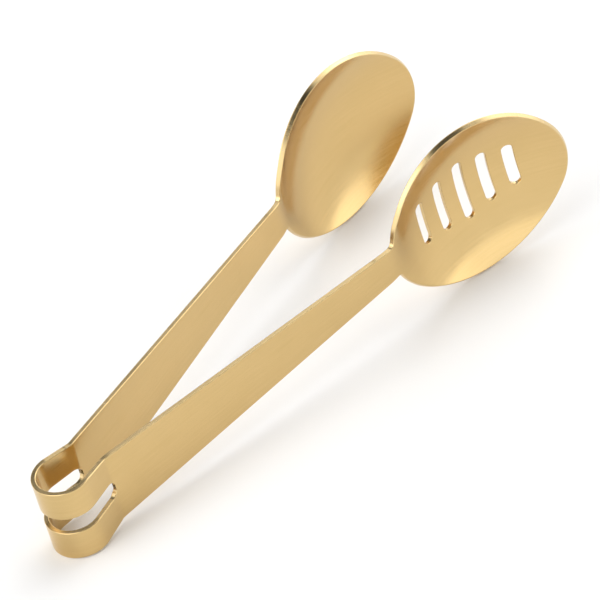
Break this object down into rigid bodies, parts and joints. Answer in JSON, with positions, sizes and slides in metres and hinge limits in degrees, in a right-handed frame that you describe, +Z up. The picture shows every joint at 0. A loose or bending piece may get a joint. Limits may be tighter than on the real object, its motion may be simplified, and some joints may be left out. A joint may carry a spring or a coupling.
{
  "type": "serving tongs",
  "caption": "Sprung serving tongs bent from one strip of gold-coloured steel, with a slotted bow, tapered arms and two oval bowls that nest when closed, one of them pierced.",
  "frame": {"origin": "on the surface that the tongs rest on, under the middle of their bounding box", "axes": "+X from the bow towards the bowls' tips, +Y towards the plain side, +Z up; the strip's own width direction leans 5.05 degrees from +Z towards the bow, because the tongs rest on the bow's lower edge and the bowls' lower rims"},
  "size_m": [0.1517, 0.057, 0.0421],
  "materials": {
    "gold_strip": "gold-coloured plating, finely brushed to a soft polish"
  },
  "bodies": {
    "bow": {"bow_upper_strap": "gold_strip", "bow_lower_strap": "gold_strip"},
    "plain_side": {"plain_upper_leg": "gold_strip", "plain_lower_leg": "gold_strip", "plain_shoulder": "gold_strip", "plain_arm": "gold_strip", "plain_bowl": "gold_strip"},
    "pierced_side": {"pierced_upper_leg": "gold_strip", "pierced_lower_leg": "gold_strip", "pierced_shoulder": "gold_strip", "pierced_arm": "gold_strip", "pierced_bowl": "gold_strip"}
  },
  "joints": [
    {"name": "plain_side_flex", "type": "hinge", "parent": "bow", "child": "plain_side", "pos_m": [-0.06688, 0.0082, 0.01067], "axis": [0.088, 0, -0.9961], "range_deg": [-4, 9.1], "stiffness_Nm_per_rad": 2.5},
    {"name": "pierced_side_flex", "type": "hinge", "parent": "bow", "child": "pierced_side", "pos_m": [-0.06688, -0.00441, 0.01067], "axis": [-0.088, 0, 0.9961], "range_deg": [-4, 9.1], "stiffness_Nm_per_rad": 2.5}
  ],
  "couplings": [
    {"joint": "pierced_side_flex", "follows": "plain_side_flex", "ratio": 1}
  ]
}
